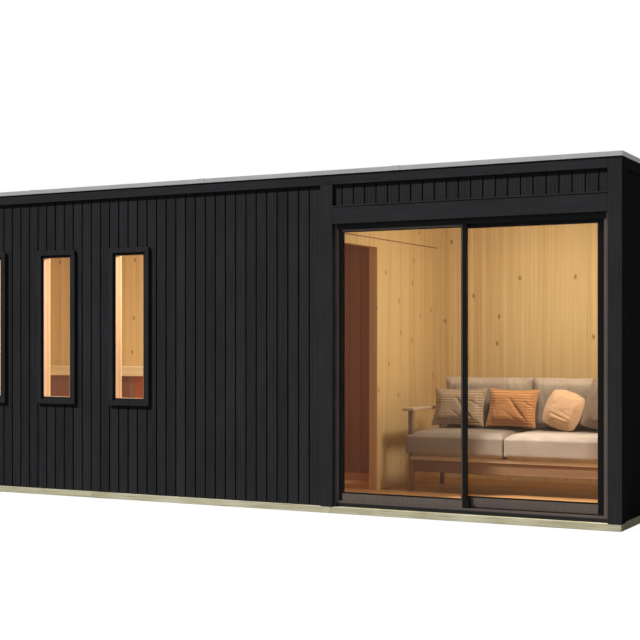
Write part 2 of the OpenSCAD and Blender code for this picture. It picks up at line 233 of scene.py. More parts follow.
def stained_timber(name, lay):
    """Black stain on planed boards: a fine grain, and a slightly different tone on each board."""
    paint = Paint(name)
    across, along = grain_axes(paint, lay)
    board = paint.island()
    streaks = paint.noise(paint.stretched((across, 160.0), (along, 3.0), (board, 50.0)), detail=5.0)
    blotches = paint.noise(paint.vector(across, paint.times(along, 0.6), board), scale=3.0)
    mixed = paint.total((streaks, 0.6), (blotches, 0.3), (board, 0.1))
    colour = paint.ramp(mixed, (0.25, linear(34, 34, 36)), (0.75, linear(52, 52, 55)))
    return paint.finish(colour, paint.span(streaks, 0.55, 0.75), streaks, 0.0004, 0.0)


def add_knots(paint, colour, across, along, dark):
    """A small dark knot in half of the cells of a pattern that is stretched along the grain."""
    cells = paint.node("ShaderNodeTexVoronoi", voronoi_dimensions="2D")
    cells.inputs["Scale"].default_value = 1.0
    paint.feed(cells.inputs["Vector"], paint.stretched((across, 4.2), (along, 2.6)))
    split = paint.node("ShaderNodeSeparateColor")
    paint.feed(split.inputs[0], cells.outputs["Color"])
    chosen = paint.math("GREATER_THAN", split.outputs[0], 0.5)
    ring = paint.node("ShaderNodeMapRange")
    paint.feed(ring.inputs["Value"], cells.outputs["Distance"])
    ring.inputs["From Min"].default_value = 0.075
    ring.inputs["From Max"].default_value = 0.035
    knot = paint.times(ring.outputs["Result"], chosen)
    return paint.blend(paint.times(knot, 0.75), colour, dark)


def panel_timber(name, lay, pale, mid, deep, lamella=0.041, knots=False, roughness=0.5):
    """Timber in narrow lamellas of uneven tone, with a fine grain and, if asked, small knots."""
    pale, mid, deep = (linear(*tone) for tone in (pale, mid, deep))
    paint = Paint(name)
    across, along = grain_axes(paint, lay)
    place = paint.math("DIVIDE", across, lamella)
    lamella_tone = paint.node("ShaderNodeTexWhiteNoise", noise_dimensions="1D")
    paint.feed(lamella_tone.inputs["W"], paint.math("FLOOR", place))
    tone = lamella_tone.outputs["Value"]
    fibres = paint.noise(paint.stretched((across, 90.0), (along, 0.9), (tone, 90.0)), roughness=0.6)
    rings = paint.noise(paint.stretched((across, 26.0), (along, 0.5), (tone, 40.0)), detail=2.0)
    mixed = paint.total((fibres, 0.6), (rings, 0.14), (tone, 0.16))
    colour = paint.ramp(mixed, (0.2, deep), (0.44, mid), (0.7, pale))
    seam = paint.math("LESS_THAN", paint.math("PINGPONG", place, 0.5), 0.05)
    colour = paint.blend(paint.times(seam, 0.35), colour, deep)
    if knots:
        colour = add_knots(paint, colour, across, along, tuple(c * 0.45 for c in deep))
    height = paint.total((fibres, 1.0), (seam, -0.8))
    gloss = paint.span(fibres, roughness - 0.08, roughness + 0.12)
    return paint.finish(colour, gloss, height, 0.0004, 0.3)


def treated_timber(name):
    """Rough pale green treated timber, greyer in places, with drying cracks along the grain."""
    paint = Paint(name)
    x, y, z = paint.position()
    along = paint.math("ADD", x, y)
    board = paint.times(paint.island(), 30.0)
    grain = paint.noise(
        paint.vector(paint.times(along, 4.0), paint.times(z, 140.0), board), detail=6.0
    )
    patches = paint.noise(paint.vector(along, z, board), scale=2.2, detail=3.0)
    colour = paint.ramp(
        paint.total((grain, 0.5), (patches, 0.5)), (0.3, linear(138, 130, 104)),
        (0.5, linear(182, 177, 150)), (0.72, linear(208, 205, 184)),
    )
    cracks = paint.math("LESS_THAN", grain, 0.36)
    colour = paint.blend(paint.times(cracks, 0.35), colour, linear(92, 84, 60))
    return paint.finish(colour, 0.8, grain, 0.0015, 0.2)


def sheet_metal(name, pale, dark, metallic, roughness, brushing):
    """Coated sheet or extruded metal: brushed lines, drawn out by brushing, and dull patches."""
    paint = Paint(name)
    x, y, z = paint.position()
    level = paint.math("ADD", x, y)
    lines = paint.noise(paint.stretched((level, brushing[0]), (z, brushing[1])), detail=5.0)
    dull = paint.noise(scale=5.0)
    mixed = paint.total((lines, 0.5), (dull, 0.5))
    colour = paint.ramp(mixed, (0.3, linear(*dark)), (0.7, linear(*pale)))
    paint.shader.inputs["Metallic"].default_value = metallic
    gloss = paint.span(dull, roughness - 0.1, roughness + 0.12)
    return paint.finish(colour, gloss, lines, 0.00015, 0.35)


def rubber(name):
    """Black gaskets and brush seals; the same black is also painted shade on the door's head and
    stiles.
    """
    paint = Paint(name)
    dust = paint.noise(scale=60.0)
    colour = paint.ramp(dust, (0.35, linear(7, 7, 8)), (0.8, linear(15, 15, 16)))
    return paint.finish(colour, paint.span(dust, 0.55, 0.8), dust, 0.0002, 0.15)


def roofing_felt(name):
    """Mineral felt: coarse granules with paler and darker patches."""
    paint = Paint(name)
    granules = paint.noise(scale=420.0, detail=2.0)
    patches = paint.noise(scale=1.6, detail=5.0)
    mixed = paint.total((granules, 0.6), (patches, 0.4))
    colour = paint.ramp(mixed, (0.3, linear(48, 49, 52)), (0.7, linear(96, 97, 100)))
    return paint.finish(colour, 0.9, granules, 0.0012, 0.15)


def clear_glass(name):
    """Window glass: clear, faintly tinted, and reflecting more at a glancing angle."""
    shine, tint = 0.1, (0.97, 0.965, 0.95, 1.0)
    paint = Paint(name)
    paint.tree.nodes.remove(paint.shader)
    clear = paint.node("ShaderNodeBsdfTransparent")
    clear.inputs["Color"].default_value = tint
    gloss = paint.node("ShaderNodeBsdfGlossy")
    gloss.inputs["Roughness"].default_value = 0.0
    bump = paint.node("ShaderNodeBump")
    bump.inputs["Distance"].default_value = 0.0004
    paint.feed(bump.inputs["Height"], paint.noise(scale=1.3, detail=1.0))
    paint.feed(gloss.inputs["Normal"], bump.outputs["Normal"])
    angle = paint.node("ShaderNodeFresnel")
    angle.inputs["IOR"].default_value = 1.5
    paint.surface(paint.times(angle.outputs[0], shine), clear, gloss)
    return paint.material


def fabric(name, pale, deep, ribs=0.0):
    """Woven upholstery: crossed threads, uneven yarn tone, a soft sheen, and level ribs if asked, with
    painted shade in the grooves between the ribs.
    """
    threads = 1560.0
    pale, deep = linear(*pale), linear(*deep)
    paint = Paint(name)
    x, y, z = paint.position()
    warp = paint.math("SINE", paint.times(paint.math("ADD", x, y), threads))
    weft = paint.math("SINE", paint.times(paint.math("SUBTRACT", z, y), threads))
    weave = paint.times(warp, weft)
    yarn = paint.noise(scale=180.0, detail=3.0)
    cloud = paint.noise(scale=9.0)
    mixed = paint.total((yarn, 0.5), (cloud, 0.5), (weave, 0.06))
    colour = paint.ramp(mixed, (0.3, deep), (0.7, pale))
    if ribs:
        # Painted shade: dark bands along the grooves between the ribs.
        rib = paint.math("SINE", paint.times(z, 2 * math.pi / ribs))
        dip = paint.times(paint.math("GREATER_THAN", rib, 0.45), 0.5)
        colour = paint.blend(dip, colour, tuple(c * 0.5 for c in deep))
    paint.shader.inputs["Sheen Weight"].default_value = 0.25
    paint.shader.inputs["Sheen Roughness"].default_value = 0.5
    return paint.finish(colour, 0.9, paint.total((weave, 0.5), (yarn, 1.0)), 0.0006, 0.15)


# Each timber's pale, middle and deep tone
SPRUCE = ((236, 212, 164), (222, 194, 142), (196, 160, 106))
# REVEAL is a pinker copy of SPRUCE; its tint is painted warm light on the window stops and linings and
# on the partition's edge.
REVEAL = ((228, 192, 158), (214, 176, 142), (192, 152, 118))
PLANKS = ((214, 170, 120), (192, 146, 98), (152, 106, 64))
ASPEN = ((248, 238, 212), (242, 230, 200), (226, 210, 174))
BROWN = ((158, 108, 84), (140, 94, 74), (108, 70, 54))
MAROON = ((146, 104, 98), (132, 90, 84), (108, 72, 68))
ORANGE = ((190, 112, 66), (168, 92, 50), (130, 66, 34))
PALE_OAK = ((214, 196, 174), (202, 182, 158), (182, 158, 132))
SHADED_GREY_OAK = ((156, 130, 108), (140, 116, 96), (120, 98, 80))
SHADED_DEEP_OAK = ((150, 120, 94), (134, 105, 80), (112, 86, 64))

BLACK_UPRIGHT = stained_timber("black_stain_upright", "upright")
BLACK_LEVEL = stained_timber("black_stain_level", "along_x")
SPRUCE_WALL = panel_timber("spruce_wall", "upright", *SPRUCE, knots=True)
SPRUCE_CEILING = panel_timber("spruce_ceiling", "along_y", *SPRUCE, knots=True)
SPRUCE_REVEAL = panel_timber("spruce_reveal", "upright", *REVEAL, 0.03)
SPRUCE_FLOOR = panel_timber("spruce_floor", "along_x", *PLANKS, 0.12, True, 0.38)
PALE_SLATS = panel_timber("pale_bench_slats", "along_x", *ASPEN, 0.045)
# Dark brown for the bench front: painted shade under the bench top.
BENCH_FRONT_SHADE = panel_timber("bench_front_painted_shade", "upright", *BROWN, 0.09)
# Maroon: painted shade, on the sauna's back wall and in the partition's joint.
MAROON_SHADE = panel_timber("maroon_painted_shade", "upright", *MAROON, 0.09)
ORANGE_POST = panel_timber("orange_post", "upright", *ORANGE, 0.05)
OAK = panel_timber("sofa_oak", "along_x", *PALE_OAK, 0.5, roughness=0.42)
# Darker oak copies for the sofa's legs and apron: painted shade.
OAK_UPRIGHT_SHADED = panel_timber("sofa_oak_upright_shaded", "upright", *SHADED_GREY_OAK, 0.5, roughness=0.42)
OAK_PAINTED_SHADE = panel_timber("sofa_oak_painted_shade", "along_x", *SHADED_DEEP_OAK, 0.5, roughness=0.42)
TREATED = treated_timber("treated_sill")
ROOF_METAL = sheet_metal(
    "roof_edge_metal", (180, 181, 184), (150, 152, 156), 0.15, 0.45, (6.0, 300.0)
)
BRONZE = sheet_metal("bronze_anodised", (96, 86, 80), (74, 65, 60), 0.2, 0.45, (300.0, 3.0))
DARK_METAL = sheet_metal("dark_metal", (44, 42, 43), (28, 27, 28), 0.3, 0.5, (3.0, 300.0))
# Black rubber for seals and spacers, also used as painted shade on the door's head and stiles.
GASKET_AND_SHADE = rubber("black_gasket_and_shade")
FELT = roofing_felt("roof_felt")
DOOR_GLASS = clear_glass("door_glass")
WINDOW_GLASS = clear_glass("window_glass")


# ---- Making pieces ----


def corners(node):
    """The lowest and highest corner of a CAD node."""
    low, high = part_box(node)
    return Vector(low), Vector(high)


def extent(node):
    """A CAD node's size along X, Y and Z."""
    low, high = corners(node)
    return high - low


def solids_along_x(node):
    """(left, right) of each solid of a node whose solids stand side by side along X."""
    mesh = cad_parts[node].data
    faces = ([mesh.vertices[i].co.x for i in face.vertices] for face in mesh.polygons)
    solids = []
    for left, right in sorted((min(xs), max(xs)) for xs in faces):
        if solids and left < solids[-1][1] + 0.001:
            solids[-1] = (solids[-1][0], max(right, solids[-1][1]))
        else:
            solids.append((left, right))
    return solids


def add_block(bm, low, high, material=0):
    """A closed block from one corner to the other, with its faces' material index."""
    corner = [
        bm.verts.new((x, y, z))
        for x in (low[0], high[0])
        for y in (low[1], high[1])
        for z in (low[2], high[2])
    ]
    for a, b, c, d in (
        (0, 1, 3, 2), (4, 6, 7, 5), (0, 4, 5, 1), (2, 3, 7, 6), (0, 2, 6, 4), (1, 5, 7, 3),
    ):
        bm.faces.new((corner[a], corner[b], corner[c], corner[d])).material_index = material


def add_prism(bm, outline, low, high, place):
    """A closed prism: an outline of (u, d) points from low to high, put in space by place(u, d, h)."""
    rings = [[bm.verts.new(place(u, d, h)) for u, d in outline] for h in (low, high)]
    bm.faces.new(rings[0])
    bm.faces.new(list(reversed(rings[1])))
    for i in range(len(outline)):
        j = (i + 1) % len(outline)
        bm.faces.new((rings[0][i], rings[1][i], rings[1][j], rings[0][j]))


def piece(name, bm, materials, replaces=(), body=CABIN, edge=0.0, steps=2):
    """Turns a bmesh into a named piece of the object, with slightly rounded edges."""
    bmesh.ops.recalc_face_normals(bm, faces=bm.faces)
    mesh = bpy.data.meshes.new(name)
    bm.to_mesh(mesh)
    bm.free()
    for material in materials:
        mesh.materials.append(material)
    made = bpy.data.objects.new(name, mesh)
    bpy.context.scene.collection.objects.link(made)
    if edge:
        bevel = made.modifiers.new("edges", "BEVEL")
        bevel.width = edge
        bevel.segments = steps
        bevel.limit_method = "ANGLE"
        bevel.angle_limit = math.radians(40)
    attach(made, body)
    if replaces:
        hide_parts(*replaces)
    return made


def blocks(name, boxes, materials, replaces=(), body=CABIN, edge=SHARP_EDGE):
    """One piece from several loose blocks: each is (low, high) or (low, high, material index)."""
    bm = bmesh.new()
    for each in boxes:
        add_block(bm, *each)
    return piece(name, bm, materials, replaces, body, edge)


def black_boards(name, boxes, material, node):
    return blocks(name, boxes, [material], [node], edge=TIMBER_EDGE)


def span_block(x1, x2, y1, y2, z1, z2):
    """A block between two places on each axis, in either order."""
    return (
        Vector((min(x1, x2), min(y1, y2), min(z1, z2))),
        Vector((max(x1, x2), max(y1, y2), max(z1, z2))),
    )


def end_blocks(node, thick):
    """A block at the left end and one at the right, for a node that has one at both."""
    low, high = corners(node)
    return [
        span_block(x * high.x, x * (high.x - thick), low.y, high.y, low.z, high.z) for x in (-1, 1)
    ]


def ring_blocks(outer, inner, near_y, far_y):
    """Four boards around an opening: both sizes are (left, right, bottom, top). Sides run between."""
    left, right, bottom, top = outer
    in_left, in_right, in_bottom, in_top = inner
    return [
        ((left, near_y, bottom), (right, far_y, in_bottom)),
        ((left, near_y, in_top), (right, far_y, top)),
        ((left, near_y, in_bottom + JOINT / 2), (in_left, far_y, in_top - JOINT / 2)),
        ((in_right, near_y, in_bottom + JOINT / 2), (right, far_y, in_top - JOINT / 2)),
    ]


def grown(opening, margin):
    """An opening's (left, right, bottom, top) with a margin added on all sides."""
    left, right, bottom, top = opening
    return left - margin, right + margin, bottom - margin, top + margin


def repaint(node, material):
    """Gives a CAD node that keeps its own shape a new material."""
    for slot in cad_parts[node].material_slots:
        slot.link = "OBJECT"
        slot.material = material


# ---- Cladding ----


def board_face(width, ribs):
    """A board's front across its width: a groove's half at each side, chamfers and fine ribs."""
    half, chamfer = GROOVE_WIDTH / 2, BOARD_CHAMFER
    points = [(0.0, GROOVE_DEPTH), (half, GROOVE_DEPTH), (half, chamfer), (half + chamfer, 0.0)]
    for i in range(ribs):
        middle = width * (i + 1) / (ribs + 1)
        points += [(middle - RIB_WIDTH / 2, 0.0), (middle, RIB_DEPTH), (middle + RIB_WIDTH / 2, 0.0)]
    points += [
        (width - half - chamfer, 0.0), (width - half, chamfer),
        (width - half, GROOVE_DEPTH), (width, GROOVE_DEPTH),
    ]
    return points


def clip_face(points, start, stop):
    """The part of a board's front between two places across it."""
    kept = []
    for (u1, d1), (u2, d2) in zip(points, points[1:]):
        if u2 <= start or u1 >= stop:
            continue
        for u in (max(u1, start), min(u2, stop)):
            share = (u - u1) / (u2 - u1) if u2 > u1 else 0.0
            kept.append((u, d1 + (d2 - d1) * share))
        if u1 == u2:
            kept[-2:] = [(u1, d1), (u2, d2)]
    clean = kept[:1]
    for point in kept[1:]:
        if (Vector(point) - Vector(clean[-1])).length > 1e-6:
            clean.append(point)
    return clean


def free_spans(left, right, bottom, top, holes):
    """The rectangles of one board that no window casing covers: (left, right, bottom, top)."""
    for hole_left, hole_right, hole_bottom, hole_top in holes:
        if right <= hole_left + 1e-5 or left >= hole_right - 1e-5:
            continue
        spans = [(left, right, bottom, hole_bottom), (left, right, hole_top, top)]
        if left < hole_left:
            spans.append((left, hole_left, hole_bottom, hole_top))
        if right > hole_right:
            spans.append((hole_right, right, hole_bottom, hole_top))
        return spans
    return [(left, right, bottom, top)]


def clad(node, grooves, place, thickness, heights, holes, seed):
    """A wall of upright boards between neighbouring grooves, with some boards finely ribbed."""
    choice = random.Random(seed)
    bottom, top = heights
    bm = bmesh.new()
    for left, right in zip(grooves, grooves[1:]):
        ribs = choice.choice(RIB_COUNTS) if right - left > NARROW_BOARD else 0
        face = board_face(right - left, ribs)
        for start, stop, low, high in free_spans(left, right, bottom, top, holes):
            outline = [(left + u, d) for u, d in clip_face(face, start - left, stop - left)]
            outline += [(stop, thickness), (start, thickness)]
            add_prism(bm, outline, low, high, place)
    piece(node + "_boards", bm, [BLACK_UPRIGHT], [node])


def groove_lines(start, stop, origin):
    """The grooves between start and stop, a board's pitch apart and in line with origin."""
    first = origin + math.ceil((start - origin) / BOARD_PITCH) * BOARD_PITCH
    lines = [start]
    while first < stop - GROOVE_WIDTH:
        if first > start + GROOVE_WIDTH:
            lines.append(first)
        first += BOARD_PITCH
    return lines + [stop]


def build_cladding():
    corner_groove = corners("corner_posts")[1].x - FIRST_GROOVE
    case_low, case_high = corners("window_casings")
    holes = [
        (left, right, case_low.z, case_high.z) for left, right in solids_along_x("window_casings")
    ]
    for seed, node, covered in ((3, "cladding_front", holes), (4, "cladding_over_door", holes),
                                (5, "cladding_back", ())):
        near, far = corners(node)
        face, turn = (far.y, -1) if node == "cladding_back" else (near.y, 1)
        clad(
            node, groove_lines(near.x, far.x, corner_groove),
            lambda u, d, h, face=face, turn=turn: (u, face + turn * d, h),
            far.y - near.y, (near.z, far.z), covered, seed,
        )
    for seed, node, side in ((6, "cladding_left", -1), (8, "cladding_right", 1)):
        near, far = corners(node)
        face = far.x if side > 0 else near.x
        clad(
            node, groove_lines(near.y, far.y, BOARD_PITCH / 2),
            lambda u, d, h, face=face, side=side: (face - side * d, u, h),
            far.x - near.x, (near.z, far.z), (), seed,
        )


# ---- Trim, sill and roof ----


def build_trim():
    """Flat black posts, fascias and the board over the door, each from planed boards."""
    low, high = corners("corner_posts")
    depth = extent("door_post").y
    width = corners("fascia_front")[0].x - low.x
    posts = []
    for x in (-1, 1):
        for y in (-1, 1):
            outer_x, inner_x, skin_x = (x * (high.x - inset) for inset in (0.0, width, depth))
            outer_y, inner_y, skin_y = (y * (high.y - inset) for inset in (0.0, width, depth))
            posts.append(span_block(outer_x, inner_x, outer_y, skin_y, low.z, high.z))
            posts.append(span_block(outer_x, skin_x, skin_y - y * JOINT, inner_y, low.z, high.z))
    black_boards("corner_post_boards", posts, BLACK_UPRIGHT, "corner_posts")
    black_boards("door_post_board", [corners("door_post")], BLACK_UPRIGHT, "door_post")
    low, high = corners("door_head_trim")
    drip, overhang = 0.012, 0.004
    head = [
        (low, high - Vector((0, 0, drip + JOINT))),
        ((low.x, low.y - overhang, high.z - drip), high),
    ]
    black_boards("door_head_boards", head, BLACK_LEVEL, "door_head_trim")
    for node in ("fascia_front", "fascia_back"):
        black_boards(node + "_board", [corners(node)], BLACK_LEVEL, node)
    ends = end_blocks("fascia_ends", depth)
    black_boards("fascia_end_boards", ends, BLACK_LEVEL, "fascia_ends")


def build_sill():
    """Long treated timbers on the ground, each wall's in lengths that butt together."""
    shares = (0.0, 0.34, 0.67, 1.0)
    for node in ("sill_front", "sill_back"):
        low, high = corners(node)
        cuts = [low.x + share * (high.x - low.x) for share in shares]
        lengths = [
            ((a, low.y, low.z), (b - JOINT, high.y, high.z)) for a, b in zip(cuts, cuts[1:])
        ]
        blocks(node + "_timbers", lengths, [TREATED], [node], edge=TIMBER_EDGE)
    ends = end_blocks("sill_ends", extent("sill_front").y)
    blocks("sill_end_timbers", ends, [TREATED], ["sill_ends"], edge=TIMBER_EDGE)


def build_roof_edge():
    """A folded metal edge around the roof, with cover straps over its joints."""
    low, high = corners("roof_edge_trim")
    inset = corners("roof_membrane")[0].x - low.x
    sheet, drip, face, fold, fall = 0.002, 0.004, 0.006, 0.003, 0.004
    profile = [
        (face, low.z), (face, high.z - fold), (face + fold, high.z), (inset, high.z - fall),
        (inset, low.z), (face + drip, low.z), (face + drip, low.z + sheet),
    ]
    bm = bmesh.new()
    rings = []
    for depth, z in profile:
        x, y = high.x - depth, high.y - depth
        rings.append([bm.verts.new(c) for c in ((-x, -y, z), (x, -y, z), (x, y, z), (-x, y, z))])
    for i, ring in enumerate(rings):
        after = rings[(i + 1) % len(rings)]
        for j in range(4):
            k = (j + 1) % 4
            bm.faces.new((ring[j], ring[k], after[k], after[j]))
    strap, proud, lengths = 0.07, 0.0012, 4
    for i in range(1, lengths):
        x = low.x + (high.x - low.x) * i / lengths
        for y in (-1, 1):
            outer, inner = y * (high.y - face + proud), y * (high.y - inset - proud)
            add_block(bm, *span_block(
                x - strap / 2, x + strap / 2, outer, inner, low.z, high.z + proud
            ))
    piece("roof_edge_metal", bm, [ROOF_METAL], ["roof_edge_trim"], edge=METAL_EDGE)


def build_roof_felt():
    """Sheets of felt inside the roof's edge, each lapped over the next."""
    low, high = corners("roof_membrane")
    sheets, lap, lift, unevenness = 7, 0.09, 0.003, 0.0015
    step = (high.x - low.x) / sheets
    rolls = []
    for i in range(sheets):
        left = low.x + i * step
        bottom = low.z + (i % 2) * unevenness
        rolls.append(((left, low.y, bottom), (left + step, high.y, high.z)))
        if i + 1 < sheets:
            right = min(left + step + lap, high.x)
            rolls.append(((right - lap, low.y, high.z), (right, high.y, high.z + lift)))
    blocks("roof_felt_sheets", rolls, [FELT], ["roof_membrane"])


# ---- Windows ----


def build_windows():
    """Each window: casing boards, a recessed sash with timber stops, glass, and a timber lining."""
    case_low, case_high = corners("window_casings")
    glass_low, glass_high = corners("window_glass")
    line_low, line_high = corners("window_linings")
    edge = line_high.z - glass_high.z
    sash, sash_back, bead, pane, lining_depth = 0.02, 0.016, 0.003, 0.004, 0.05
    recess = case_low.y + sash_back
    casing, sashes, stops, panes, linings = [], [], [], [], []
    for (left, right), (clear_left, clear_right) in zip(
        solids_along_x("window_casings"), solids_along_x("window_glass")
    ):
        outline = (left, right, case_low.z, case_high.z)
        opening = (clear_left, clear_right, glass_low.z, glass_high.z)
        lining = (clear_left - edge, clear_right + edge, line_low.z, line_high.z)
        casing += ring_blocks(outline, grown(opening, sash), case_low.y, case_high.y)
        sashes += ring_blocks(grown(opening, sash), opening, recess, case_high.y)
        stops += ring_blocks(opening, grown(opening, -bead), recess, case_high.y)
        linings += ring_blocks(lining, opening, line_low.y, line_low.y + lining_depth)
        for y in (glass_low.y, glass_high.y - pane):
            panes.append(((clear_left, y, glass_low.z), (clear_right, y + pane, glass_high.z)))
    black_boards("window_casing_boards", casing, BLACK_UPRIGHT, "window_casings")
    blocks("window_sashes", sashes, [BLACK_UPRIGHT])
    blocks("window_stops", stops, [SPRUCE_REVEAL])
    glazing = blocks("window_panes", panes, [WINDOW_GLASS], ["window_glass"], edge=0.0)
    glazing.visible_shadow = False
    blocks("window_lining_boards", linings, [SPRUCE_REVEAL], ["window_linings"])


# ---- Sliding door ----


def build_door_frame():
    """Extruded jambs and head with fins for the two panels, and a bottom track with two rails. The
    head and its fins are black, as painted shadow under the head trim.
    """
    low, high = corners("door_frame")
    fixed_low, fixed_high = corners("fixed_panel_frame")
    slide_low, slide_high = corners("sliding_panel_frame")
    wall, fin, lip, drip, sheet, rail = 0.016, 0.0035, 0.003, 0.012, 0.006, 0.004
    jamb = fixed_low.x - low.x
    track, head, bed = fixed_low.z, fixed_high.z, low.z + sheet
    fins = (low.y, (fixed_high.y + slide_low.y) / 2 - fin / 2, high.y - fin)
    parts = []
    for side, outer in ((1, low.x), (-1, high.x)):
        inner = outer + side * (jamb - wall)
        parts.append(span_block(outer, inner, low.y, high.y, low.z, high.z))
        for y in fins:
            parts.append(span_block(inner, outer + side * jamb, y, y + fin, track, head))
    left, right = low.x + jamb - wall, high.x - jamb + wall
    # The black rubber (index 1) on the head and on the head's fins is painted shadow under the head
    # trim.
    parts += [
        ((left + wall * 0.75, low.y - lip, track), (left + wall, low.y, head)),
        ((low.x, low.y - lip, low.z), (low.x + wall / 2, low.y, high.z)),
        ((left, low.y, head + wall), (right, high.y, high.z), 1),
    ]
    for y in fins:
        bottom = head - (drip if y == low.y else 0.0)
        parts.append(((left, y, bottom), (right, y + fin, head + wall), 1))
    parts.append(((left, low.y, low.z), (right, high.y, bed)))
    for middle in ((fixed_low.y + fixed_high.y) / 2, (slide_low.y + slide_high.y) / 2):
        parts.append(((left, middle - rail / 2, bed), (right, middle + rail / 2, track)))
    for y in (low.y, high.y - fin):
        parts.append(((left, y, bed), (right, y + fin, track)))
    blocks("door_frame_profiles", parts, [BRONZE, GASKET_AND_SHADE], ["door_frame"],
           edge=METAL_EDGE)


def build_threshold():
    """A dark folded sheet under the door, with a lip and a shadow line along its front."""
    low, high = corners("door_threshold")
    lip = 0.008
    folds = [
        ((low.x, low.y + lip, low.z), (high.x, high.y, high.z)),
        ((low.x, low.y, high.z - lip), (high.x, low.y + lip, high.z)),
        ((low.x, low.y + lip / 2, low.z + lip), (high.x, low.y + lip, low.z + lip * 1.5)),
    ]
    blocks("door_threshold_sheet", folds, [DARK_METAL], ["door_threshold"],
           edge=METAL_EDGE)


def build_panel(name, frame_node, glass_node, body, strip, slim):
    """A glazed panel: black stiles, a bronze bottom rail, and beads and gaskets at the glass. The
    black of the stiles, and of the top rail where there is no cap, is painted shade.

    strip is the width of the bronze cap on the stile where the panels meet, or 0, and slim is
    how far the left pane's edge reaches into its stile.
    """
    low, high = corners(frame_node)
    clear_low, clear_high = corners(glass_node)
    clear_low.x -= slim
    groove, seal, bead, pane, spacer, gap = 0.0025, 0.003, 0.013, 0.004, 0.007, 0.001
    near, far = low.y + groove, high.y - groove
    left, right, bottom, top = clear_low.x, clear_high.x, clear_low.z, clear_high.z
    rail = top + bead if strip else top
    bronze = [((left, low.y, low.z), (right, high.y, bottom - seal))]
    if strip:
        bronze.append(((right, low.y, low.z), (right + strip, high.y, high.z)))
        bronze.append(((left, low.y, top), (right, high.y, rail)))
    # Black rubber stiles and top rail: painted shade on the panel's sides and under the head.
    black = [
        ((low.x, near, low.z), (left, far, high.z)),
        ((right + strip, near, low.z), (high.x, far, high.z)),
        ((left, near, bottom - seal), (right, far, bottom)),
        ((left, near, rail), (right, far, high.z)),
    ]
    panes = [
        ((left, y, bottom), (right, y + pane, top)) for y in (clear_low.y, clear_high.y - pane)
    ]
    opening = (left, right, bottom, top)
    spacers = ring_blocks(
        opening, grown(opening, -spacer), clear_low.y + pane + gap, clear_high.y - pane - gap
    )
    blocks(name + "_profiles", bronze, [BRONZE], [frame_node], body, METAL_EDGE)
    blocks(name + "_stiles", black, [GASKET_AND_SHADE], (), body, BOARD_EDGE)
    glazing = blocks(name + "_panes", panes, [DOOR_GLASS], [glass_node], body, 0.0)
    glazing.visible_shadow = False
    blocks(name + "_spacers", spacers, [GASKET_AND_SHADE], (), body, 0.0)


def build_door():
    build_door_frame()
    build_threshold()
    build_panel("fixed_panel", "fixed_panel_frame", "fixed_panel_glass", CABIN, 0.008, 0.0)
    build_panel(
        "sliding_panel_glazed", "sliding_panel_frame", "sliding_panel_glass", PANEL, 0.0, 0.016
    )
    low, high = corners("fixed_panel_frame")
    cap_width, cap_height = 0.018, 0.07
    cap = ((high.x, low.y, low.z), (high.x + cap_width, high.y, low.z + cap_height))
    blocks("interlock_end_cap", [cap], [GASKET_AND_SHADE], edge=0.002)


# ---- Rooms ----


def build_floor():
    """Pale planks along the cabin, with staggered end joints, on a rough deck."""
    low, high = corners("floor_deck")
    rows, plank, gap = 17, 0.022, 0.0008
    width = (high.y - low.y) / rows
    choice = random.Random(11)
    planks = []
    for row in range(rows):
        near, far = low.y + row * width, low.y + (row + 1) * width - gap
        ends = [low.x, low.x + choice.uniform(1.2, 2.3)]
        while ends[-1] + 3.0 < high.x:
            ends.append(ends[-1] + choice.uniform(1.9, 2.4))
        ends.append(high.x)
        for left, right in zip(ends, ends[1:]):
            planks.append(((left, near, high.z - plank), (right - gap, far, high.z)))
    planks.append((low, (high.x, high.y, high.z - plank), 1))
    blocks("floor_planks", planks, [SPRUCE_FLOOR, TREATED], ["floor_deck"],
           edge=BOARD_EDGE)


def build_rooms():
    for node in ("front_wall", "front_wall_pier", "front_wall_over_door", "back_wall",
                 "left_wall", "right_wall"):
        repaint(node, SPRUCE_WALL)
    for node in ("partition_wall", "partition_lintel"):
        build_partition(node)
    build_painted_shade_wall()
    repaint("ceiling", SPRUCE_CEILING)
    repaint("roof_deck", SPRUCE_CEILING)
    build_floor()


def build_partition(node):
    """Lining panels on both faces of a core, with a level joint above the doorway; a maroon strip
    inside the joint is painted shade.
    """
    low, high = corners(node)
    joint = corners("floor_deck")[1].z + PARTITION_JOINT
    gap, lining = 0.004, 0.012
    inward = Vector((lining / 2, lining, 0))
    panels = [
        # The core, seen at the doorway's edge, is in the pinker reveal spruce: painted warm light.
        ((low.x + lining, low.y, low.z), (high.x - lining, high.y, high.z), 1),
        # Maroon strip inside the joint: painted shade in the gap.
        ((*(low + inward).xy, joint - gap * 2), (*(high - inward).xy, joint + gap * 2), 2),
    ]
    for left, right in ((low.x, low.x + lining), (high.x - lining, high.x)):
        panels.append(((left, low.y, low.z), (right, high.y, joint - gap)))
        panels.append(((left, low.y, joint + gap), (right, high.y, high.z)))
    blocks(node + "_panels", panels, [SPRUCE_WALL, SPRUCE_REVEAL, MAROON_SHADE],
           [node])


def build_painted_shade_wall():
    """Boards in maroon on the sauna room's back wall, across from the doorway: painted shade on that
    part of the wall.
    """
    low, high = corners("ceiling")
    floor = corners("floor_deck")[1].z
    right = corners("partition_wall")[0].x
    board, thick, gap, count = 0.12, 0.014, 0.003, 14
    boards = []
    for i in range(count):
        x = right - (i + 1) * board
        boards.append(((x + gap, high.y - thick, floor), (x + board, high.y, low.z)))
    blocks("painted_shade_wall_boards", boards, [MAROON_SHADE], edge=0.0015)


def build_bench():
    build_bench_top()
    build_bench_front()
    build_bench_end()


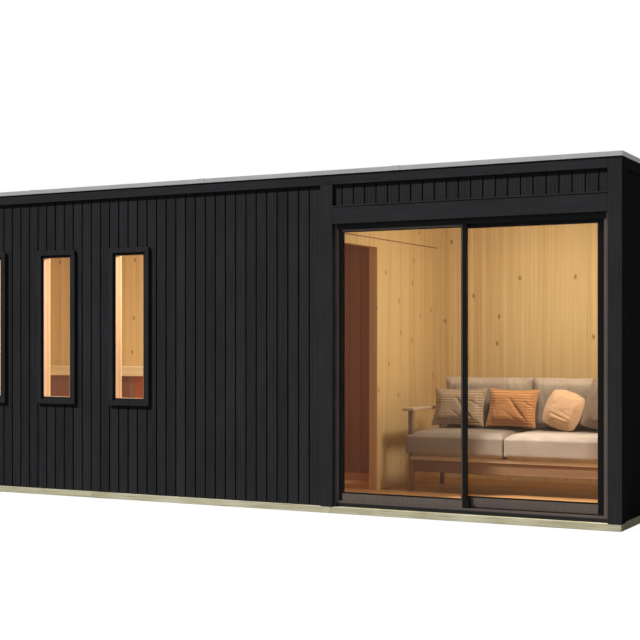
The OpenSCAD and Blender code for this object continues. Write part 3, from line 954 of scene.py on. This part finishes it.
def build_bench_top():
    """Pale slats behind a deep pale nosing, on three bearers."""
    low, high = corners("bench_top")
    nosing, slats, gap, slat, dip, bearer = 0.03, 6, 0.012, 0.028, 0.004, 0.06
    width = (high.y - low.y - nosing - gap * slats) / slats
    boards = [((low.x, low.y, low.z), (high.x, low.y + nosing, high.z))]
    for i in range(slats):
        near = low.y + nosing + gap + i * (width + gap)
        boards.append(((low.x, near, high.z - slat), (high.x, near + width, high.z - dip)))
    for x in (low.x, (low.x + high.x - bearer) / 2, high.x - bearer):
        boards.append(((x, low.y + nosing, low.z), (x + bearer, high.y, high.z - slat)))
    blocks("bench_slats", boards, [PALE_SLATS], ["bench_top"], edge=SOFT_EDGE / 2)


def build_bench_front():
    # The front boards' dark brown is painted shade under the bench top.
    low, high = corners("bench_front")
    count = round((high.x - low.x) / BENCH_FRONT_BOARD)
    board = (high.x - low.x) / count
    boards = [
        ((low.x + i * board, low.y, low.z),
         (low.x + (i + 1) * board - BENCH_JOINT, high.y, high.z))
        for i in range(count)
    ]
    blocks("bench_front_boards", boards, [BENCH_FRONT_SHADE], ["bench_front"],
           edge=0.0015)


def build_bench_end():
    """A corner post, and orange boards behind it."""
    low, high = corners("bench_end")
    front_high = corners("bench_front")[1]
    thick, post = front_high.y - low.y, high.x - front_high.x
    start = low.y + post
    count = round((high.y - start) / BENCH_END_BOARD)
    board = (high.y - start) / count
    boards = [(low, (high.x, start, high.z))]
    for i in range(count):
        near = start + i * board
        boards.append(((high.x - thick, near + BENCH_JOINT, low.z), (high.x, near + board, high.z)))
    blocks("bench_end_boards", boards, [ORANGE_POST], ["bench_end"], edge=0.003)


# ---- Sofa ----


def add_leg(bm, low, high):
    """An upright leg whose foot is narrower than its top."""
    middle = (Vector(low) + Vector(high)) / 2
    before = len(bm.verts)
    add_block(bm, low, high, LEG_INDEX)
    bm.verts.ensure_lookup_table()
    for vert in list(bm.verts)[before:]:
        if vert.co.z < middle.z:
            vert.co.x = middle.x + (vert.co.x - middle.x) * LEG_TAPER
            vert.co.y = middle.y + (vert.co.y - middle.y) * LEG_TAPER


def build_sofa_frame():
    """An oak frame: tapered legs, flat arms, a pale front rail over a deeper board, and slats. The
    legs and the deeper board take darker copies of the oak, as painted shade.
    """
    low, high = corners("sofa_frame")
    leg, inset = SOFA_LEG, 0.008
    floor, deck = low.z, corners("seat_cushions")[0].z - 0.0003
    arm_top, arm_thick, arm_width, arm_out = floor + 0.697, 0.025, 0.1, 0.04
    left = corners("seat_cushions")[0].x
    right = corners("seat_cushions")[1].x - leg
    bm = bmesh.new()
    for x in (left, right):
        add_leg(bm, (x + inset, low.y + inset, floor),
                (x + leg - inset, low.y + leg - inset, arm_top - arm_thick))
        add_leg(bm, (x + inset, high.y - leg + inset, floor),
                (x + leg - inset, high.y - inset, high.z))
    for x in (left - arm_out, right):
        add_block(bm, (x, low.y, arm_top - arm_thick), (x + arm_width, high.y - leg, arm_top))

    start, end = left + leg / 2, right + leg / 2
    rail, rail_thick, apron, back_rail = 0.034, 0.05, 0.1, 0.05
    under = deck - rail

    def long_board(near, far, bottom, top, index=0):
        add_block(bm, (start, near, bottom), (end, far, top), index)

    long_board(low.y, low.y + rail_thick, under, deck)
    # The apron board in the darker oak: painted shade under the rail.
    long_board(low.y + 0.022, low.y + 0.042, under - apron, under, APRON_INDEX)
    long_board(high.y - 0.045, high.y - 0.02, under - back_rail, deck)
    side, side_height, overlap = 0.025, 0.07, 0.01
    for x in (start - 0.012, end - 0.012):
        add_block(bm, (x, low.y + leg - overlap, deck - side_height),
                  (x + side, high.y - leg + overlap, deck))
    slats, slat, slat_thick = 9, 0.045, 0.016
    for i in range(slats):
        y = low.y + leg + (high.y - low.y - 2 * leg - slat) * i / (slats - 1)
        long_board(y, y + slat, deck - slat_thick, deck)
    back, board = high.y - leg, 0.07
    for drop in (1, 3, 5):
        z = high.z - drop * board
        long_board(back + 0.004, back + 0.026, z, z + board)
    piece("sofa_oak_frame", bm, [OAK, OAK_UPRIGHT_SHADED, OAK_PAINTED_SHADE], ["sofa_frame"],
          edge=SOFT_EDGE, steps=3)


class Soft:
    """A cushion or pillow: a closed mesh that a short cloth run blows up.

    outline is its plan about its middle, drawn up from low to high with edges rounded by
    radius, and keep holds each point of the finished cushion in the room it has.
    """

    def __init__(self, name, node, slot, material, outline, heights, radius, place, pressure,
                 cap, voxel, keep, half):
        self.node, self.slot, self.material = node, slot, material
        self.place, self.cap, self.keep, self.half = place, cap, keep, half
        bm = bmesh.new()
        add_prism(bm, outline, *heights, lambda u, d, h: (u, d, h))
        bmesh.ops.bevel(
            bm, geom=bm.edges[:], segments=4, affect="EDGES", profile=0.55, offset=radius
        )
        mesh = bpy.data.meshes.new(name)
        bm.to_mesh(mesh)
        bm.free()
        self.object = bpy.data.objects.new(name, mesh)
        bpy.context.scene.collection.objects.link(self.object)
        remesh = self.object.modifiers.new("skin", "REMESH")
        remesh.mode = "VOXEL"
        remesh.voxel_size = voxel
        self.bake()
        self.start = [v.co.copy() for v in self.object.data.vertices]
        self.add_cloth(pressure)

    def bake(self):
        """Applies the modifiers."""
        graph = bpy.context.evaluated_depsgraph_get()
        mesh = bpy.data.meshes.new_from_object(self.object.evaluated_get(graph))
        self.object.modifiers.clear()
        self.object.data = mesh

    def add_cloth(self, pressure):
        """Cloth that air pressure blows up, without gravity or collisions."""
        cloth = self.object.modifiers.new("cloth", "CLOTH")
        settings = cloth.settings
        settings.quality = 5
        settings.mass = 0.3
        settings.tension_stiffness = 12
        settings.compression_stiffness = 12
        settings.shear_stiffness = 6
        settings.bending_stiffness = 0.4
        settings.use_pressure = True
        settings.uniform_pressure_force = pressure
        settings.effector_weights.gravity = 0.0
        cloth.collision_settings.use_collision = False
        cloth.collision_settings.use_self_collision = False
        cloth.point_cache.frame_start = 1
        cloth.point_cache.frame_end = CLOTH_FRAMES

    def fill_out(self, mesh):
        """Stretches the cushion a little, so that it fills the room it has."""
        for axis in range(3):
            reach = max(abs(vert.co[axis]) for vert in mesh.vertices)
            for vert in mesh.vertices:
                vert.co[axis] *= self.half[axis] / reach

    def settle(self, shape):
        """Keeps the blown-up shape within its cap, shapes it, and stands it in its place."""
        if self.object.modifiers:
            self.bake()
        mesh = self.object.data
        for vert, start in zip(mesh.vertices, self.start):
            for axis, cap in enumerate(self.cap):
                vert.co[axis] = max(start[axis] - cap, min(start[axis] + cap, vert.co[axis]))
        self.fill_out(mesh)
        mesh.shade_smooth()
        fine = self.object.modifiers.new("fine", "SUBSURF")
        fine.levels = fine.render_levels = 1
        self.bake()
        mesh = self.object.data
        normals = [vert.normal.copy() for vert in mesh.vertices]
        for vert, normal in zip(mesh.vertices, normals):
            vert.co = self.keep(shape(vert.co.copy(), normal))
        mesh.transform(self.place)
        mesh.materials.clear()
        mesh.materials.append(self.material)
        mesh.shade_smooth()
        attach(self.object, CABIN)
        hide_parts(self.node)


def creases(point, pitch, depth):
    """The depth at a point of thin creases that wander about pitch metres apart."""
    wave = noise.noise(Vector(c / p for c, p in zip(point, pitch)))
    return depth * max(0.0, 1 - abs(wave) * 5)


def crowned(half, rise, axis=2, side=1, pull=0.0, crease=0.0):
    """A cushion whose face on one side is domed, with its outline drawn in between corners."""
    across, along = (i for i in range(3) if i != axis)

    def shape(point, normal):
        u, w = point[across] / half[across], point[along] / half[along]
        dome = (1 - u ** 10) * (1 - w ** 6)
        if point[axis] * side > 0:
            point[axis] *= 1 - rise * (1 - dome)
        point[across] *= 1 - pull * (1 - w * w)
        point[along] *= 1 - pull * (1 - u * u)
        return point - normal * creases(point, (0.09, 0.2, 0.3), crease)

    return shape


def fold_depth(point, x1, z1, x2, z2, width, depth):
    """The depth at a point of a fold from one end to the other, fading out at both."""
    along = Vector((x2 - x1, z2 - z1))
    start = Vector((point.x - x1, point.z - z1))
    share = max(0.0, min(1.0, start.dot(along) / along.length_squared))
    away = (start - along * share).length
    return depth * math.exp(-((away / width) ** 2)) * (1 - abs(2 * share - 1) ** 3)


def plump(half, pull, roundness, folds, ribs):
    """A pillow: thin at its edges, sides drawn in between the corners, with slanting folds.

    folds are (x1, z1, x2, z2, width, depth), from one end of a fold to the other.
    """
    flatness, rib_depth = 3.2, 0.0015

    def shape(point, normal):
        u, w = point.x / half.x, point.z / half.z
        facing = abs(normal.y)
        dome = math.sqrt(max(0.0, (1 - abs(u) ** flatness) * (1 - abs(w) ** flatness)))
        point.y *= THIN_EDGE + (1 - THIN_EDGE) * dome
        longest = math.hypot(u, w) or 1.0
        corner = 1 + roundness * (max(abs(u), abs(w)) / longest - 1)
        point.x *= corner * (1 - pull * (1 - w * w))
        point.z *= corner * (1 - pull * (1 - u * u))
        dip = 0.0
        for fold in folds:
            dip += fold_depth(point, *fold)
        if ribs:
            dip += rib_depth * math.cos(2 * math.pi * point.z / ribs)
        dip += creases(point, (0.09, 0.09, 0.13), 0.003)
        return point - normal * dip * facing

    return shape


def within(half, leg_gap=None):
    """Holds points inside a block, and in front of the sofa's leg where leg_gap is given.

    leg_gap is (side, inner_x, back_y): past inner_x on that side, points stay before back_y.
    """

    def keep(point):
        for axis in range(3):
            point[axis] = max(-half[axis], min(half[axis], point[axis]))
        if leg_gap:
            side, inner_x, back_y = leg_gap
            if point.x * side > inner_x and point.y > back_y:
                if point.x * side - inner_x < point.y - back_y:
                    point.x = side * inner_x
                else:
                    point.y = back_y
        return point

    return keep


def rectangle(half, shrink):
    """The plan of a plain cushion, drawn in by shrink, and its heights."""
    x, y, z = half - Vector(shrink)
    return [(-x, -y), (x, -y), (x, y), (-x, y)], (-z, z)


def rooms_along_x(node):
    """The middle and half the size of each solid of a node, from left to right."""
    low, high = corners(node)
    return [
        (Vector(((left + right) / 2, (low.y + high.y) / 2, (low.z + high.z) / 2)),
         Vector(((right - left) / 2, (high.y - low.y) / 2, (high.z - low.z) / 2)))
        for left, right in solids_along_x(node)
    ]


def seat_cushions(material):
    """Seat cushions whose front ends reach across the sofa's front legs."""
    leg_front = corners("sofa_frame")[0].y
    thin, gap = 0.004, 0.001
    made = []
    for name, side, (middle, half) in zip(("left", "right"), (-1, 1), rooms_along_x("seat_cushions")):
        inner = half.x - SOFA_LEG - gap
        back = leg_front - middle.y - gap
        x, y, z = half - Vector((thin, thin, 0.012))
        outline = [
            (-x, -y), (x, -y), (x, back - thin), (inner - thin, back - thin), (inner - thin, y),
            (-x, y),
        ]
        if side < 0:
            outline = [(-a, b) for a, b in reversed(outline)]
        soft = Soft(
            "seat_cushion_" + name, "seat_cushions", "beige_fabric", material, outline, (-z, z),
            0.015, Matrix.Translation(middle), 4.0, (0.004, 0.006, 0.02), 0.011,
            within(half, (side, inner, back)), half,
        )
        made.append((soft, crowned(half, 0.3)))
    return made


def back_cushions(material):
    """Plainer cushions with a domed front, drawn in between their corners."""
    made = []
    for name, (middle, half) in zip(("left", "right"), rooms_along_x("back_cushions")):
        soft = Soft(
            "back_cushion_" + name, "back_cushions", "beige_fabric", material,
            *rectangle(half, (0.005, 0.02, 0.005)), 0.022, Matrix.Translation(middle), 4.0,
            (0.006, 0.03, 0.006), 0.014, within(half), half,
        )
        made.append((soft, crowned(half, 0.45, axis=1, side=-1, pull=0.02, crease=0.005)))
    return made


def pillow(node, slot, material, turn, pull, roundness, folds, ribs=0.0, size=1.0):
    """A loose pillow that leans on the back cushions, turned on its face by some degrees."""
    low, high = corners(node)
    width = high.x - low.x
    lean = math.radians(PILLOW_LEAN)
    height = (high.z - low.z - PILLOW_THICKNESS * math.sin(lean)) / math.cos(lean)
    place = (
        Matrix.Translation((low + high) / 2)
        @ Matrix.Rotation(-lean, 4, "X")
        @ Matrix.Translation((0.0, 0.0, (size - 1) * height / 2))
        @ Matrix.Rotation(math.radians(turn), 4, "Y")
    )
    half = Vector((width / 2 * size, PILLOW_THICKNESS / 2, height / 2 * size))
    soft = Soft(
        node + "_cover", node, slot, material, *rectangle(half, (0.004, half.y * 0.5, 0.004)),
        0.018, place, 5.0, (0.012, 0.05, 0.012), 0.009, within(half), half,
    )
    return soft, plump(half, pull, roundness, folds, ribs)


def build_cushions():
    beige = fabric("beige_upholstery", (196, 180, 162), (166, 150, 134))
    ribbed = fabric("ribbed_beige", (200, 176, 148), (168, 146, 122), RIB_PITCH)
    orange = fabric("orange_corduroy", (222, 166, 116), (200, 138, 88), RIB_PITCH)
    # The seat cushions take a darker copy of the beige upholstery: painted shade.
    seat = fabric("beige_upholstery_shaded", (166, 152, 140), (138, 125, 115))
    peach = fabric("peach_cotton", (238, 202, 168), (224, 182, 144))
    grey = fabric("grey_linen", (158, 138, 122), (130, 112, 98))
    soft = seat_cushions(seat) + back_cushions(beige)
    slants = (
        (-0.03, 0.09, 0.12, -0.1, 0.014, 0.014), (0.02, 0.02, 0.15, -0.12, 0.01, 0.012),
        (-0.08, -0.02, 0.1, -0.14, 0.012, 0.006), (0.1, 0.05, 0.2, 0.0, 0.01, 0.008),
    )
    tucks = (
        (-0.1, -0.06, 0.08, -0.08, 0.009, 0.009), (-0.05, -0.1, 0.1, -0.11, 0.009, 0.008),
        (-0.02, -0.02, 0.1, -0.05, 0.01, 0.006),
    )
    soft += [
        pillow("pillow_ribbed", "ribbed_fabric", ribbed, 0, 0.11, 0.0, slants, RIB_PITCH),
        pillow("pillow_orange", "orange_fabric", orange, 1, 0.1, 0.0, slants, RIB_PITCH),
        pillow("pillow_peach", "peach_fabric", peach, 17, -0.02, 0.5, tucks, size=0.93),
        pillow("pillow_grey", "grey_fabric", grey, 11, 0.03, 0.2, ()),
    ]
    for number in range(1, CLOTH_FRAMES + 1):
        bpy.context.scene.frame_set(number)
    for made, shape in soft:
        made.settle(shape)


# ---- Light, floor and camera ----


def build_stage():
    """A wide white floor just under the cabin."""
    floor = bmesh.new()
    bmesh.ops.create_grid(floor, x_segments=1, y_segments=1, size=60)
    mesh = bpy.data.meshes.new("studio_floor")
    floor.to_mesh(mesh)
    floor.free()
    made = bpy.data.objects.new("studio_floor", mesh)
    made.location.z = -0.002
    bpy.context.scene.collection.objects.link(made)
    tone, glow, share = (0.2, 0.2, 0.2, 1.0), 1.14, 0.86
    paint = Paint("studio_floor")
    paint.finish(tone, 0.9, None, 0.0, 0.0)
    light = paint.node("ShaderNodeEmission")
    light.inputs["Strength"].default_value = glow
    paint.surface(paint.times(seen(paint), share), paint.shader, light)
    mesh.materials.append(paint.material)


def seen(paint):
    """1 for a ray from the camera, or one that metal or glass sends on."""
    path = paint.node("ShaderNodeLightPath").outputs
    rays = paint.math("MAXIMUM", path["Is Camera Ray"], path["Is Glossy Ray"])
    return paint.math("MAXIMUM", rays, path["Is Transmission Ray"])


def build_world():
    world = bpy.data.worlds.new("studio")
    bpy.context.scene.world = world
    paint = Paint("studio", world)
    background = paint.tree.nodes["Background"]
    strength = paint.node("ShaderNodeMapRange")
    paint.feed(strength.inputs["Value"], seen(paint))
    strength.inputs["To Min"].default_value = WORLD_LIGHT
    strength.inputs["To Max"].default_value = 1.0
    background.inputs["Color"].default_value = (1.0, 1.0, 1.0, 1.0)
    paint.feed(background.inputs["Strength"], strength.outputs["Result"])


def lamp(name, kind, energy, colour, position, target, **settings):
    """A lamp that lights the scene but isn't seen itself."""
    data = bpy.data.lights.new(name, kind)
    data.energy = energy
    data.color = colour
    for key, value in settings.items():
        setattr(data, key, value)
    made = bpy.data.objects.new(name, data)
    bpy.context.scene.collection.objects.link(made)
    made.visible_glossy = False
    made.visible_camera = False
    made.location = position
    away = Vector(target) - Vector(position)
    made.rotation_euler = away.to_track_quat("-Z", "Y").to_euler()


def build_lights():
    """A soft key from the front left, a warm lamp in each room, and a beam on the lounge's floor."""
    ceiling = corners("ceiling")[0]
    right, front = corners("right_wall")[0].x, ceiling.y
    lamp("key", "SUN", SUN_LIGHT, (1.0, 0.98, 0.95), (-11.0, -10.0, 15.0), (0.0, 0.0, 0.0),
         angle=math.radians(5))
    lamp("lounge_lamp", "AREA", LOUNGE_LIGHT, WARM, (right - 0.55, front + 0.5, ceiling.z - 0.06),
         (right - 1.2, front + 1.2, 0.6), shape="DISK", size=0.5)
    lamp("sunbeam", "SPOT", SUNBEAM, WARM, (right - 1.5, front + 0.06, ceiling.z - 0.3),
         (right - 0.5, front + 0.4, 0.1), spot_size=math.radians(36), spot_blend=0.25,
         shadow_soft_size=0.03)
    lamp("sauna_lamp", "AREA", SAUNA_LIGHT, WARM, (0.1, 0.0, ceiling.z - 0.1),
         (-2.2, front + 0.5, 1.1), shape="DISK", size=0.4, spread=math.radians(130))


def build_camera():
    low, high = corners("corner_posts")
    data = bpy.data.cameras.new("camera")
    data.lens = CAMERA_LENS
    data.sensor_width = CAMERA_SENSOR
    data.shift_y = HORIZON_DROP
    data.clip_end = 200.0
    camera = bpy.data.objects.new("camera", data)
    camera.location = (
        high.x + CAMERA_FROM_CORNER.x, low.y + CAMERA_FROM_CORNER.y, CAMERA_HEIGHT
    )
    camera.rotation_euler = (math.radians(90), 0.0, math.radians(CAMERA_YAW))
    bpy.context.scene.collection.objects.link(camera)
    bpy.context.scene.camera = camera


def main():
    scene = bpy.context.scene
    scene.view_settings.view_transform = "Standard"
    scene.cycles.transparent_max_bounces = 32
    build_camera()
    build_cladding()
    build_trim()
    build_sill()
    build_roof_edge()
    build_roof_felt()
    build_windows()
    build_door()
    build_rooms()
    build_bench()
    build_sofa_frame()
    build_cushions()
    build_stage()
    build_world()
    build_lights()


main()
